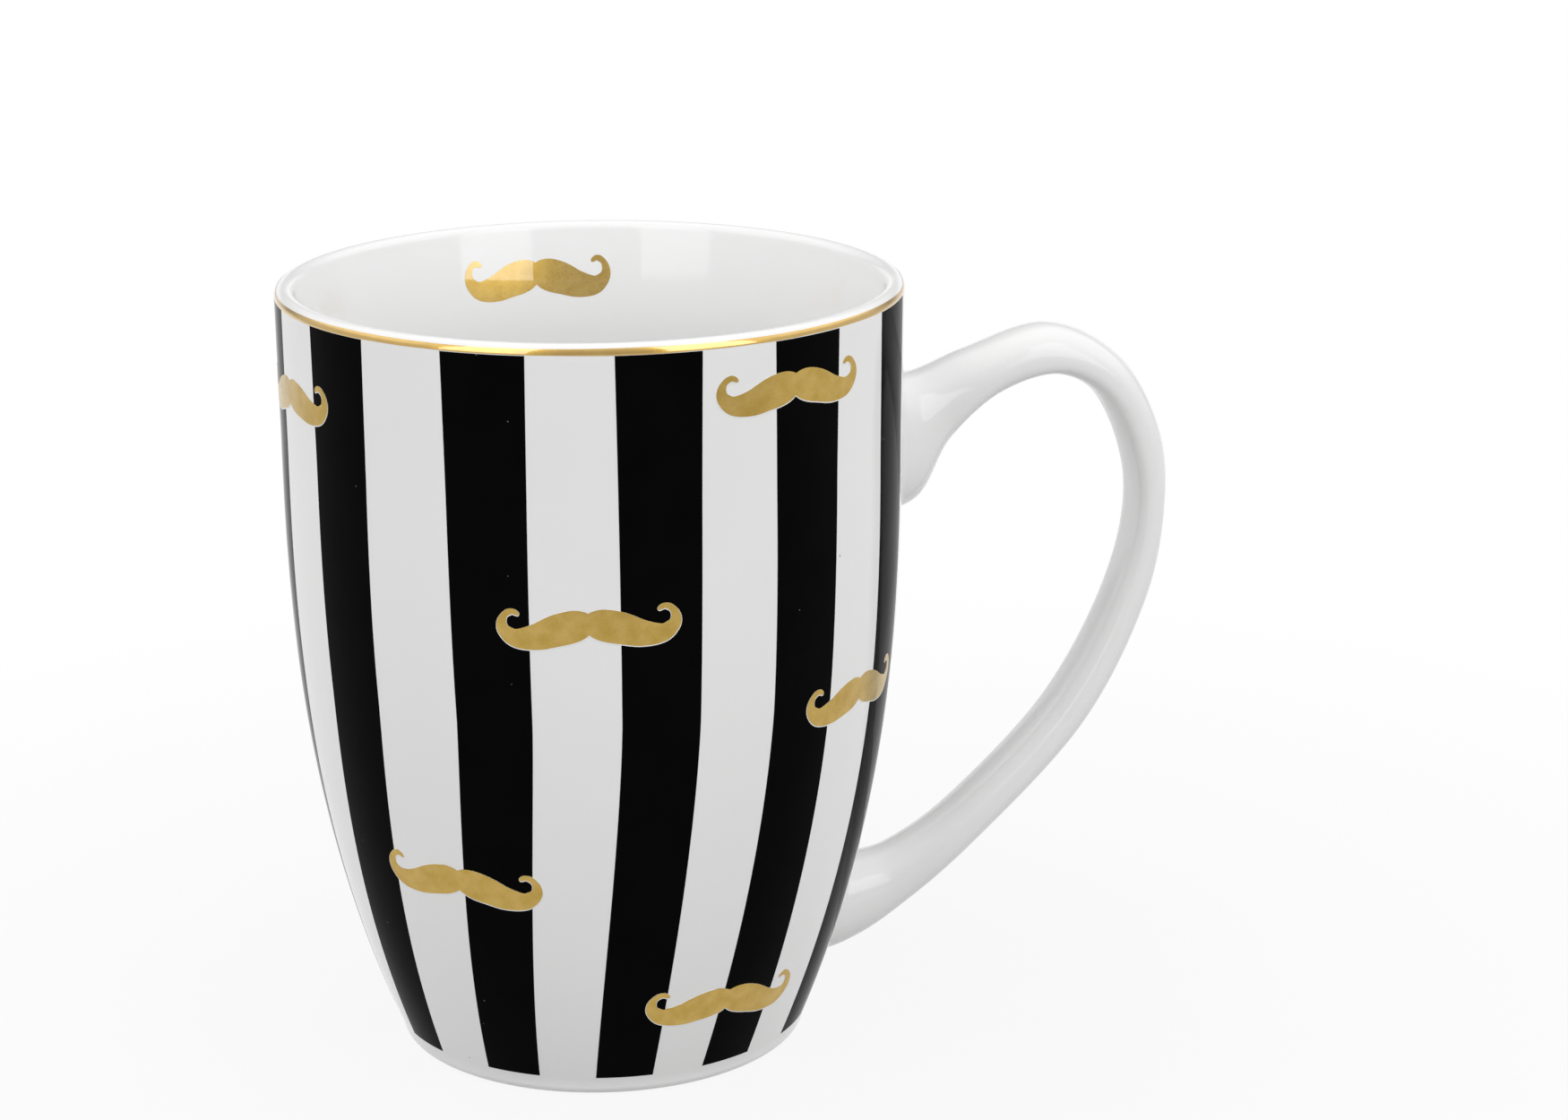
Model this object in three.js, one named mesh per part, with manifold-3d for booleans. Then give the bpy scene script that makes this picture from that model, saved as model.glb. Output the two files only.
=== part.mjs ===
// A large porcelain mug: a cast body and a cast handle luted together with slip,
// glazed white, then decorated with fired transfers. The transfers are black
// upright stripes, small gold moustaches and one gold line round the lip.
// Millimetres, +Z up, handle along +X, the table at Z = 0, and the origin in
// the middle of the mug's footprint box.

import * as THREE from 'three';
import { mergeVertices } from 'three/addons/utils/BufferGeometryUtils.js';
import Module from 'manifold-3d';

// Cast body
const HEIGHT = 123.2; // table to the top of the lip
const RIM_RADIUS = 48.7; // outside, at the lip
const RIM_FLARE = 0.2; // how much further out the lip stands than the shoulder
const SHOULDER_HEIGHT = 100; // the side stands upright above this and draws in below it
const TAPER = 16.4; // how far the side draws in between the shoulder and the table
const TAPER_POWER = 2.54; // 1 is a straight cone, more keeps the side upright for longer
const WALL = 5.2; // thickness of the side
const LIP_THICKNESS = 3; // the side thins to this at its round lip
const LIP_BEVEL = 16; // how far below the lip the inside leans before it is upright
const FLOOR_HEIGHT = 7; // table to the inside of the floor
const FLOOR_ROUND = 13; // height of the round between the floor and the side
const FOOT_ROUND = 1.8; // radius of the edge above the table
const FOOT_RING_WIDTH = 4.6; // flat unglazed ring that the mug stands on
const FOOT_RECESS = 1.6; // depth of the underside inside the ring
const FOOT_SLOPE = 1.2; // how far the inside of the ring leans in

// Cast handle
const HANDLE_REACH = 45.4; // from the wall to the outside of the handle
const HANDLE_UPPER_DROP = 28; // top of the lip to the middle of the upper joint
const HANDLE_LOWER_JOINT = 15.7; // table to the middle of the lower joint
const HANDLE_WIDTH = 12.4; // across the handle, in the middle of the grip
const UPPER_JOINT_WIDTH = 18.4; // across the handle, at the upper joint
const LOWER_JOINT_WIDTH = 16.4; // across the handle, at the lower joint
const HANDLE_SQUARENESS = 2.4; // 2 is an oval section, more is fuller at the corners

// Luted joints between handle and body
const SLIP_THICKNESS = 0.5; // layer of slip left in the joint
const SLIP_SQUEEZE = 0.4; // how far the slip stands out round the handle
const JOINT_CLEARANCE = 0.3; // on either side of the slip

// Fired transfers
const PRINT_THICKNESS = 0.15;
const PRINT_CLEARANCE = 0.1; // between the glaze and a transfer, and between two transfers
const GOLD_LINE_WIDTH = 0.8; // measured up the round of the lip
const GOLD_LINE_RISE = 0.2; // where it starts, up the round from the outside of the lip
const STRIPE_MARGIN = 0.1; // white left between the round of the lip and the stripes
const STRIPE_BOTTOM = 3.4; // table to the lower ends of the stripes
const STRIPE_ANGLE = 15.2; // degrees of the wall that one stripe covers at its ends
const STRIPE_WAIST = 0.055; // share of its width that a stripe loses half way up
const STRIPE_PITCH = 30; // degrees from stripe to stripe
const STRIPE_FIRST = 29; // degrees from the handle to the middle of the first stripe
const STRIPES_LEFT = 4; // stripes laid from the handle on the -Y side
const STRIPES_RIGHT = 7; // stripes laid from the handle on the +Y side
const SKEW_HEIGHT = 66; // below this the stripes lean
const SKEW_ANGLE = 6.7; // degrees that they would lean by at the table
const SKEW_POWER = 1.4; // 1 is a straight lean, more starts it gently

// Moustaches
const MOUSTACHE_SPAN = 27.6; // from curl to curl, along the wall
const MOUSTACHE_FULLNESS = 0.218; // half depth before the tapers, as a share of half the span
const MOUSTACHE_NOTCH = 0.45; // how much of that depth the middle gives up
const INSIDE_MOUSTACHE_SPAN = 25.2; // the one on the inside wall is narrower
const INSIDE_MOUSTACHE_STRETCH = 1.2; // and taller for its span
const INSIDE_MOUSTACHE_DROP = 8.2; // top of the lip to its middle
const INSIDE_MOUSTACHE_ANGLE = 91.8; // degrees from the handle

// Fineness of the facets
const SIDES = 60;
const WALL_STEPS = 11;
const BEVEL_STEPS = 5;
const ROUND_STEPS = 4;
const STRIPE_ROWS = 12;
const STRIPE_COLUMNS = 3;
const HANDLE_RINGS = 34;
const HANDLE_SIDES = 18;
const MOUSTACHE_STEPS = 40;
const MOUSTACHE_STRIPS = 2;

const LIP_RADIUS = LIP_THICKNESS / 2;
const LIP_CENTRE_HEIGHT = HEIGHT - LIP_RADIUS;
const WALL_RADIUS = RIM_RADIUS - RIM_FLARE;
const HANDLE_UPPER_JOINT = HEIGHT - HANDLE_UPPER_DROP;
const STRIPE_TOP = LIP_CENTRE_HEIGHT - STRIPE_MARGIN;
const JOINT_DEPTH = 2 * JOINT_CLEARANCE + SLIP_THICKNESS;

const wasm = await Module();
wasm.setup();

// Outside radius of the body at a height
function outsideRadius(height) {
  if (height >= SHOULDER_HEIGHT) {
    const share = (height - SHOULDER_HEIGHT) / (LIP_CENTRE_HEIGHT - SHOULDER_HEIGHT);
    return THREE.MathUtils.lerp(WALL_RADIUS, RIM_RADIUS, Math.min(share, 1));
  }
  const below = 1 - Math.max(height, 0) / SHOULDER_HEIGHT;
  return WALL_RADIUS - TAPER * below ** TAPER_POWER;
}

// Inside radius of the body at a height above the round of the floor
function insideRadius(height) {
  const below = THREE.MathUtils.clamp((LIP_CENTRE_HEIGHT - height) / LIP_BEVEL, 0, 1);
  const thickness = WALL - (WALL - LIP_THICKNESS) * (1 - below) ** 1.5;
  return outsideRadius(height) - thickness;
}

// Heights closer together at their lower end, where the side bends most
function heightsBetween(from, to, steps) {
  return Array.from({ length: steps + 1 }, (_, i) => from + (to - from) * (i / steps) ** 1.3);
}

// Points up the outside, one of them at the shoulder, grown by a distance
function outsidePoints(growth) {
  const heights = heightsBetween(FOOT_ROUND, SHOULDER_HEIGHT, WALL_STEPS);
  heights.push((SHOULDER_HEIGHT + LIP_CENTRE_HEIGHT) / 2, LIP_CENTRE_HEIGHT);
  return heights.map((height) => new THREE.Vector2(outsideRadius(height) + growth, height));
}

// A quarter or half round as profile points
function arc(centreRadius, centreHeight, radius, fromAngle, toAngle, steps) {
  return Array.from({ length: steps + 1 }, (_, i) => {
    const angle = THREE.MathUtils.lerp(fromAngle, toAngle, i / steps);
    const x = centreRadius + radius * Math.cos(angle);
    return new THREE.Vector2(x, centreHeight + radius * Math.sin(angle));
  });
}

// Turns a profile of radius and height round the mug's axis
function turned(profile) {
  return new THREE.LatheGeometry(profile, SIDES).rotateX(Math.PI / 2);
}

// The body's section, from the middle of the underside out, up, over the lip and in
function bodyProfile() {
  const footRadius = outsideRadius(FOOT_ROUND) - FOOT_ROUND;
  const ringInside = footRadius - FOOT_RING_WIDTH;
  const underside = [
    new THREE.Vector2(0, FOOT_RECESS),
    new THREE.Vector2(ringInside - FOOT_SLOPE, FOOT_RECESS),
    new THREE.Vector2(ringInside, 0),
  ];
  const edge = arc(footRadius, FOOT_ROUND, FOOT_ROUND, -Math.PI / 2, 0, ROUND_STEPS);
  const side = outsidePoints(0);
  const lip = arc(RIM_RADIUS - LIP_RADIUS, LIP_CENTRE_HEIGHT, LIP_RADIUS, 0, Math.PI, 2 * ROUND_STEPS + 2);
  const roundTop = FLOOR_HEIGHT + FLOOR_ROUND;
  const bevelFoot = LIP_CENTRE_HEIGHT - LIP_BEVEL;
  const bevel = heightsBetween(LIP_CENTRE_HEIGHT, bevelFoot, BEVEL_STEPS);
  const upright = heightsBetween(roundTop, bevelFoot, WALL_STEPS - 4).reverse();
  const inside = [...bevel, ...upright.slice(1)]
    .map((height) => new THREE.Vector2(insideRadius(height), height));
  const wallFoot = new THREE.Vector2(insideRadius(roundTop), roundTop);
  const corner = new THREE.Vector2(insideRadius(FLOOR_HEIGHT), FLOOR_HEIGHT);
  const floorEdge = new THREE.Vector2(corner.x - FLOOR_ROUND, FLOOR_HEIGHT);
  const floorRound = new THREE.QuadraticBezierCurve(wallFoot, corner, floorEdge).getPoints(ROUND_STEPS);
  return [
    ...underside,
    ...edge,
    ...side.slice(1),
    ...lip.slice(1),
    ...inside.slice(1),
    ...floorRound.slice(1),
    new THREE.Vector2(0, FLOOR_HEIGHT),
  ];
}

// A solid of the body's outside, grown by a distance, for cutting what joins it
function grownBody(growth) {
  const above = HEIGHT + growth;
  const side = outsidePoints(growth);
  return turned([
    new THREE.Vector2(0, -HEIGHT),
    new THREE.Vector2(side[0].x, -HEIGHT),
    ...side,
    new THREE.Vector2(RIM_RADIUS + growth, above),
    new THREE.Vector2(0, above),
  ]);
}

// Closed geometry to a solid that can be cut, and back
function toSolid(geometry) {
  const bare = geometry.clone();
  bare.deleteAttribute('normal');
  bare.deleteAttribute('uv');
  const merged = mergeVertices(bare, 1e-4);
  const index = Array.from(merged.index.array);
  const triVerts = [];
  for (let i = 0; i < index.length; i += 3) {
    const corners = index.slice(i, i + 3);
    if (new Set(corners).size === 3) triVerts.push(...corners);
  }
  return new wasm.Manifold(new wasm.Mesh({
    numProp: 3,
    vertProperties: new Float32Array(merged.attributes.position.array),
    triVerts: new Uint32Array(triVerts),
  }));
}

function toGeometry(solid) {
  const mesh = solid.getMesh();
  const geometry = new THREE.BufferGeometry();
  geometry.setAttribute('position', new THREE.BufferAttribute(mesh.vertProperties, 3));
  geometry.setIndex(new THREE.BufferAttribute(mesh.triVerts, 1));
  geometry.computeVertexNormals();
  return geometry;
}

// Faces between rows of points, where each row is a closed ring
function sideFaces(rowCount, ringSize) {
  const index = [];
  for (let i = 0; i + 1 < rowCount; i += 1) {
    for (let j = 0; j < ringSize; j += 1) {
      const next = (j + 1) % ringSize;
      const here = i * ringSize;
      const there = here + ringSize;
      index.push(here + j, here + next, there + next);
      index.push(here + j, there + next, there + j);
    }
  }
  return index;
}

function skin(points, index) {
  const geometry = new THREE.BufferGeometry().setFromPoints(points);
  geometry.setIndex(index);
  geometry.computeVertexNormals();
  return geometry;
}

// A closed skin over rings, with the first and last rings capped from their middles
function loft(rows) {
  const ringSize = rows[0].length;
  const points = rows.flat();
  const index = sideFaces(rows.length, ringSize);
  [rows[0], rows[rows.length - 1]].forEach((row, end) => {
    const middle = row.reduce((sum, p) => sum.add(p), new THREE.Vector3()).divideScalar(ringSize);
    const start = end * (rows.length - 1) * ringSize;
    const centre = points.push(middle) - 1;
    for (let j = 0; j < ringSize; j += 1) {
      const next = (j + 1) % ringSize;
      if (end) index.push(start + j, start + next, centre);
      else index.push(start + next, start + j, centre);
    }
  });
  return skin(points, index);
}

// The handle, drawn by its outer and inner edges. Each edge point is a share of the
// reach from the wall, and a share of the way from the lower joint to the upper one.
const OUTER_EDGE = [
  [-0.06, 1.16], [0.062, 1.125], [0.27, 1.167], [0.571, 1.212], [0.821, 1.142], [0.969, 0.998],
  [1, 0.84], [0.935, 0.625], [0.704, 0.364], [0.28, 0.114], [-0.012, -0.02], [-0.194, -0.075],
  [-0.352, -0.095],
];
const INNER_EDGE = [
  [-0.07, 0.84], [0.081, 0.875], [0.183, 0.983], [0.353, 1.074], [0.572, 1.113], [0.768, 1.046],
  [0.88, 0.861], [0.816, 0.654], [0.595, 0.416], [0.258, 0.217], [0.023, 0.127], [-0.13, 0.104],
  [-0.286, 0.102],
];
const UPPER_FLARE_SHARE = 0.17; // how much of the handle's run the upper joint spreads over
const LOWER_FLARE_SHARE = 0.2;

function handleEdge(shares) {
  const rise = HANDLE_UPPER_JOINT - HANDLE_LOWER_JOINT;
  return new THREE.CatmullRomCurve3(shares.map(([reach, height]) => new THREE.Vector3(
    WALL_RADIUS + reach * HANDLE_REACH,
    0,
    HANDLE_LOWER_JOINT + height * rise,
  )), false, 'catmullrom', 0.5);
}

function handleSkin(growth) {
  const outer = handleEdge(OUTER_EDGE);
  const inner = handleEdge(INNER_EDGE);
  const rows = [];
  for (let i = 0; i <= HANDLE_RINGS; i += 1) {
    const run = i / HANDLE_RINGS;
    const outside = outer.getPoint(run);
    const inside = inner.getPoint(run);
    const middle = outside.clone().lerp(inside, 0.5);
    const across = outside.clone().sub(middle);
    across.setLength(across.length() + growth);
    const upper = 1 - THREE.MathUtils.smoothstep(run, 0, UPPER_FLARE_SHARE);
    const lower = THREE.MathUtils.smoothstep(run, 1 - LOWER_FLARE_SHARE, 1);
    const width = HANDLE_WIDTH
      + upper * (UPPER_JOINT_WIDTH - HANDLE_WIDTH)
      + lower * (LOWER_JOINT_WIDTH - HANDLE_WIDTH);
    const row = [];
    for (let j = 0; j < HANDLE_SIDES; j += 1) {
      const angle = -(j / HANDLE_SIDES) * 2 * Math.PI;
      const cos = Math.cos(angle);
      const sin = Math.sin(angle);
      const power = 2 / HANDLE_SQUARENESS;
      const point = middle.clone();
      point.addScaledVector(across, Math.sign(cos) * Math.abs(cos) ** power);
      point.y += (width / 2 + growth) * Math.sign(sin) * Math.abs(sin) ** power;
      row.push(point);
    }
    rows.push(row);
  }
  return loft(rows);
}

// A thin fired film over rows and columns of places on the wall, lifted off the glaze.
// Each ring runs across the face and back underneath it.
function film(rowCount, columnCount, place, lift) {
  const points = [];
  for (let i = 0; i <= rowCount; i += 1) {
    const face = [];
    const back = [];
    for (let j = 0; j <= columnCount; j += 1) {
      face.push(place(i / rowCount, j / columnCount, lift + PRINT_THICKNESS));
      back.unshift(place(i / rowCount, j / columnCount, lift));
    }
    points.push(...face, ...back);
  }
  const ringSize = 2 * (columnCount + 1);
  const index = sideFaces(rowCount + 1, ringSize);
  for (let j = 0; j < columnCount; j += 1) {
    const last = rowCount * ringSize;
    const under = ringSize - 1 - j;
    index.push(j, under, under - 1);
    index.push(j, under - 1, j + 1);
    index.push(last + j, last + under - 1, last + under);
    index.push(last + j, last + j + 1, last + under - 1);
  }
  return skin(points, index);
}

// A point on the outside wall, lifted off it square to the glaze
function onOutside(degrees, height, lift) {
  const step = 0.01;
  const slope = (outsideRadius(height + step) - outsideRadius(height - step)) / (2 * step);
  const length = Math.hypot(1, slope);
  const radius = outsideRadius(height) + lift / length;
  const angle = THREE.MathUtils.degToRad(degrees);
  return new THREE.Vector3(
    radius * Math.cos(angle),
    radius * Math.sin(angle),
    height - (lift * slope) / length,
  );
}

// A point on the inside wall, lifted towards the axis
function onInside(degrees, height, lift) {
  const radius = insideRadius(height) - lift;
  const angle = THREE.MathUtils.degToRad(degrees);
  return new THREE.Vector3(radius * Math.cos(angle), radius * Math.sin(angle), height);
}

// The transfer sheet pulls round as it is smoothed down over the narrowing foot
function skew(height) {
  return -SKEW_ANGLE * Math.max(0, 1 - height / SKEW_HEIGHT) ** SKEW_POWER;
}

// Degrees that a stripe covers, at a share of the way up it
function stripeAngle(share) {
  return STRIPE_ANGLE * (1 - STRIPE_WAIST * (1 - (2 * share - 1) ** 2));
}

function stripe(middle) {
  const heights = heightsBetween(STRIPE_BOTTOM, STRIPE_TOP, STRIPE_ROWS);
  const place = (up, across, lift) => {
    const height = heights[Math.round(up * STRIPE_ROWS)];
    const angle = stripeAngle((height - STRIPE_BOTTOM) / (STRIPE_TOP - STRIPE_BOTTOM));
    return onOutside(middle + skew(height) + (across - 0.5) * angle, height, lift);
  };
  return film(STRIPE_ROWS, STRIPE_COLUMNS, place, PRINT_CLEARANCE);
}

// One half of a handlebar moustache follows this spine, in shares of half the span:
// out from the middle, sagging a little, then up and back in a curl.
const HALF_SPINE = [
  [0, 0], [0.3, -0.05], [0.56, -0.13], [0.78, -0.145], [0.905, -0.065],
  [0.9315, 0.03], [0.89, 0.118], [0.81, 0.1525], [0.735, 0.115],
];
const mirrored = HALF_SPINE.slice(1).map(([x, y]) => [-x, y]).reverse();
const SPINE = new THREE.CatmullRomCurve3(
  [...mirrored, ...HALF_SPINE].map(([x, y]) => new THREE.Vector3(x, y, 0)),
  false,
  'catmullrom',
  0.5,
);

// Half depth of the moustache along its spine, 0 in the middle and 1 at a tip
function moustacheDepth(run) {
  const curl = 0.16 - 0.5 * Math.max(run - 0.9, 0); // the curl keeps some depth to a blunt tip
  const taper = Math.max((1 - run ** 1.5) ** 1.15, curl);
  const notch = 1 - MOUSTACHE_NOTCH * Math.exp(-run / 0.11);
  return MOUSTACHE_FULLNESS * taper * notch;
}

// Seen from outside the columns run down the moustache, and from inside they run up
function moustache(degrees, height, tilt, span, stretch, surface, columnSign, lift) {
  const half = span / 2;
  const middle = new THREE.Vector2();
  const lean = THREE.MathUtils.degToRad(tilt);
  const place = (along, across, up) => {
    const run = Math.abs(2 * along - 1);
    const spine = SPINE.getPointAt(along);
    const tangent = SPINE.getTangentAt(along);
    const offset = columnSign * (1 - 2 * across) * moustacheDepth(run);
    const spot = new THREE.Vector2(spine.x - tangent.y * offset, spine.y + tangent.x * offset);
    spot.y *= stretch;
    spot.rotateAround(middle, lean).multiplyScalar(half);
    const turn = THREE.MathUtils.radToDeg(spot.x / surface(0, height, 0).x);
    return surface(degrees + turn, height + spot.y, up);
  };
  return film(MOUSTACHE_STEPS, MOUSTACHE_STRIPS, place, lift);
}

// Places of the outside moustaches: degrees from the handle, share of the way up the
// stripes, and degrees of tilt. Negative degrees lie on the -Y side.
const MOUSTACHE_PLACES = [
  [-41.9, 0.508, -1.5], [-62.5, 0.942, -1], [-69.7, 0.106, -4],
  [-101.4, 0.662, 1.6], [-129.6, 0.297, -1.2], [-169.7, 0.899, 3],
  [150, 0.6, 1], [143, 0.16, -2], [112, 0.83, 1], [100, 0.37, -1], [60, 0.66, 2], [52, 0.22, 0],
];

function goldLine() {
  const centreRadius = RIM_RADIUS - LIP_RADIUS;
  const low = GOLD_LINE_RISE / LIP_RADIUS;
  const top = low + GOLD_LINE_WIDTH / LIP_RADIUS;
  const inside = LIP_RADIUS + PRINT_CLEARANCE;
  const outside = inside + PRINT_THICKNESS;
  const face = arc(centreRadius, LIP_CENTRE_HEIGHT, outside, low, top, 2);
  const back = arc(centreRadius, LIP_CENTRE_HEIGHT, inside, top, low, 2);
  return turned([...face, ...back, face[0]]);
}

const porcelain = new THREE.MeshStandardMaterial({ color: 0xf1f1ee, roughness: 0.12, metalness: 0 });
const slip = new THREE.MeshStandardMaterial({ color: 0xeeece6, roughness: 0.2, metalness: 0 });
const black = new THREE.MeshStandardMaterial({ color: 0x0c0b0d, roughness: 0.12, metalness: 0 });
const gold = new THREE.MeshStandardMaterial({ color: 0xc8a24e, roughness: 0.35, metalness: 0.9 });

const mug = new THREE.Group();

function add(name, geometry, material) {
  const mesh = new THREE.Mesh(geometry, material);
  mesh.name = name;
  mug.add(mesh);
}

add('mug_body', turned(bodyProfile()), porcelain);

const wholeHandle = toSolid(handleSkin(0));
add('handle', toGeometry(wholeHandle.subtract(toSolid(grownBody(JOINT_DEPTH)))), porcelain);

const slipShell = toSolid(grownBody(JOINT_CLEARANCE + SLIP_THICKNESS))
  .subtract(toSolid(grownBody(JOINT_CLEARANCE)));
const slipJoints = toSolid(handleSkin(SLIP_SQUEEZE)).intersect(slipShell).decompose()
  .sort((a, b) => b.boundingBox().max[2] - a.boundingBox().max[2]);
add('upper_slip_joint', toGeometry(slipJoints[0]), slip);
add('lower_slip_joint', toGeometry(slipJoints[1]), slip);

add('gold_rim_line', goldLine(), gold);

const stripeMiddles = [
  ...Array.from({ length: STRIPES_LEFT }, (_, i) => -STRIPE_FIRST - i * STRIPE_PITCH),
  ...Array.from({ length: STRIPES_RIGHT }, (_, i) => STRIPE_FIRST + i * STRIPE_PITCH),
];
stripeMiddles.forEach((middle, i) => {
  add(`black_stripe_${String(i + 1).padStart(2, '0')}`, stripe(middle), black);
});

const moustacheLift = 2 * PRINT_CLEARANCE + PRINT_THICKNESS;
MOUSTACHE_PLACES.forEach(([degrees, share, tilt], i) => {
  const height = THREE.MathUtils.lerp(STRIPE_BOTTOM, STRIPE_TOP, share);
  const geometry = moustache(degrees, height, tilt, MOUSTACHE_SPAN, 1, onOutside, 1, moustacheLift);
  add(`gold_moustache_${String(i + 1).padStart(2, '0')}`, geometry, gold);
});
const insideHeight = HEIGHT - INSIDE_MOUSTACHE_DROP;
const insideGeometry = moustache(
  INSIDE_MOUSTACHE_ANGLE,
  insideHeight,
  0,
  INSIDE_MOUSTACHE_SPAN,
  INSIDE_MOUSTACHE_STRETCH,
  onInside,
  -1,
  moustacheLift,
);
add('inside_moustache', insideGeometry, gold);

// The origin lies under the middle of the whole mug, handle included
const box = new THREE.Box3().setFromObject(mug);
mug.position.x = -(box.min.x + box.max.x) / 2;

export default mug;
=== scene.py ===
import math

import bmesh
import bpy
from mathutils import Euler, Matrix, Vector


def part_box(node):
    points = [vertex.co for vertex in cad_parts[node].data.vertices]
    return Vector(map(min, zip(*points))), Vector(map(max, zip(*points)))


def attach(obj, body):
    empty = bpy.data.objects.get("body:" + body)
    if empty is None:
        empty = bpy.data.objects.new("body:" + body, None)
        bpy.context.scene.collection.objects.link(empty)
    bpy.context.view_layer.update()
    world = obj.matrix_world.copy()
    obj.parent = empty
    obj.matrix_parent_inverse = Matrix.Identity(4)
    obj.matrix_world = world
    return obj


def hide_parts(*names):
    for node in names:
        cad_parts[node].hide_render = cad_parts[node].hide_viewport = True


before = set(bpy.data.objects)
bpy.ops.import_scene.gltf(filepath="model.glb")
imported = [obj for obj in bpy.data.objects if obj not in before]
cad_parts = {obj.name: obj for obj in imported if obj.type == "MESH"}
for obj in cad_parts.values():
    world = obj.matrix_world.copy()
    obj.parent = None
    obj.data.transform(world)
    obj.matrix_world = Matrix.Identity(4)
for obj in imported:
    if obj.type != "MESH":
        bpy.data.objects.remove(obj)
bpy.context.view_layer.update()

# Cast body
# One porcelain casting: foot ring, floor, side and round lip in a piece. The inside leans
# out to a thinner lip, and glaze covers everything but the ring that the mug stands on.
MM = 0.001
SHOULDER = 100
WALL_RADIUS = 48.5
LIP_FLARE = 0.2
TAPER = 16.4
TAPER_POWER = 2.54
SIDE_THICKNESS = 5.2
LIP_CENTRE = 121.7
LIP_ROUND = 1.5
LIP_BEVEL = 16
BEVEL_POWER = 1.5
BEVEL_DROP = 0.3
FOOT_ROUND = 1.8
UNDERSIDE = [
    (0, 1.8), (9, 1.75), (18, 1.66), (24.1, 1.5),
    (25.2, 1.25), (25.8, 0.7), (26.2, 0.18), (26.45, 0),
]
FLOOR = 7
FLOOR_INNER_RING = 7
FLOOR_FLAT = 16.7
FLOOR_ROUND_TOP = 20
CORNER_ANGLE = math.radians(38)
GLAZE_LINE_LOW = 0.34 * MM
GLAZE_LINE_HIGH = 0.42 * MM
GLAZE_LINE_WANDER = 0.4 * MM
GLAZE_WHITE = (0.885, 0.885, 0.885)
GLAZE_MILK = (0.91, 0.91, 0.905)
PINHOLE_BROWN = (0.42, 0.38, 0.32)
BARE_CLAY = (0.74, 0.70, 0.64)
BARE_ROUGHNESS = 0.78

body_low, body_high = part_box("mug_body")
cup_axis = (body_low.x + body_high.x) / 2


def outside_radius(height):
    if height > SHOULDER:
        return WALL_RADIUS + LIP_FLARE * min((height - SHOULDER) / (LIP_CENTRE - SHOULDER), 1)
    return WALL_RADIUS - TAPER * (1 - max(height, 0) / SHOULDER) ** TAPER_POWER


def inside_radius(height):
    below = min(max((LIP_CENTRE - height) / LIP_BEVEL, 0), 1)
    thickness = SIDE_THICKNESS - (SIDE_THICKNESS - 2 * LIP_ROUND) * (1 - below) ** BEVEL_POWER
    return outside_radius(height) - thickness


def cup_point(radius, angle, height):
    """A point given in millimetres from the cup's axis and the table."""
    return Vector((cup_axis + radius * math.cos(angle) * MM, radius * math.sin(angle) * MM, height * MM))


def between(first, last, steps):
    return [first + (last - first) * i / steps for i in range(steps + 1)]


def arc(radius, height, size, first, last, steps):
    return [(radius + size * math.cos(a), height + size * math.sin(a)) for a in between(first, last, steps)]


def body_section():
    """Radius and height from the middle of the underside out, up, over the lip and in."""
    foot = outside_radius(FOOT_ROUND) - FOOT_ROUND
    rim = outside_radius(LIP_CENTRE) - LIP_ROUND
    lean = math.atan(BEVEL_POWER * (SIDE_THICKNESS - 2 * LIP_ROUND) / LIP_BEVEL)
    edge = arc(foot, FOOT_ROUND, FOOT_ROUND, -math.pi / 2, 0, steps=10)
    side = [(outside_radius(h), h) for h in between(FOOT_ROUND, LIP_CENTRE, steps=90)]
    lip = arc(rim, LIP_CENTRE, LIP_ROUND, 0, math.pi - lean, steps=22)
    inside = [(inside_radius(h), h) for h in between(LIP_CENTRE - BEVEL_DROP, FLOOR_ROUND_TOP, steps=70)]
    top = inside[-1][0]
    corner = inside_radius(FLOOR)
    floor = []
    for t in between(0, 1, steps=20)[1:]:
        radius = (1 - t) ** 2 * top + 2 * t * (1 - t) * corner + t * t * FLOOR_FLAT
        floor.append((radius, FLOOR + (1 - t) ** 2 * (FLOOR_ROUND_TOP - FLOOR)))
    floor += [(FLOOR_INNER_RING, FLOOR), (0, FLOOR)]
    return UNDERSIDE + edge + side[1:] + lip[1:] + inside + floor


def into_scene(name, mesh, *finishes):
    """Makes an object of a finished mesh, smooth except at its corners."""
    bmesh.ops.recalc_face_normals(mesh, faces=mesh.faces)
    data = bpy.data.meshes.new(name)
    mesh.to_mesh(data)
    mesh.free()
    data.shade_smooth()
    data.set_sharp_from_angle(angle=CORNER_ANGLE)
    for finish in finishes:
        data.materials.append(finish)
    piece = bpy.data.objects.new(name, data)
    bpy.context.scene.collection.objects.link(piece)
    return piece


def stands_for(piece, node):
    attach(piece, "root")
    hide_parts(node)


def turned(mesh, section, sides):
    """Turns a section that starts and ends on the axis into a closed skin."""
    rings = []
    for radius, height in section:
        turns = [2 * math.pi * i / sides for i in range(sides if radius else 1)]
        rings.append([mesh.verts.new(cup_point(radius, turn, height)) for turn in turns])
    for lower, upper in zip(rings, rings[1:]):
        for i in range(sides):
            corners = [lower[i % len(lower)], lower[(i + 1) % len(lower)]]
            corners += [upper[(i + 1) % len(upper)], upper[i % len(upper)]]
            mesh.faces.new(list(dict.fromkeys(corners)))


def add_node(tree, kind, values=None, **settings):
    made = tree.nodes.new(kind)
    for key, value in settings.items():
        setattr(made, key, value)
    for socket, value in (values or {}).items():
        made.inputs[socket].default_value = value
    return made


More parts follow.
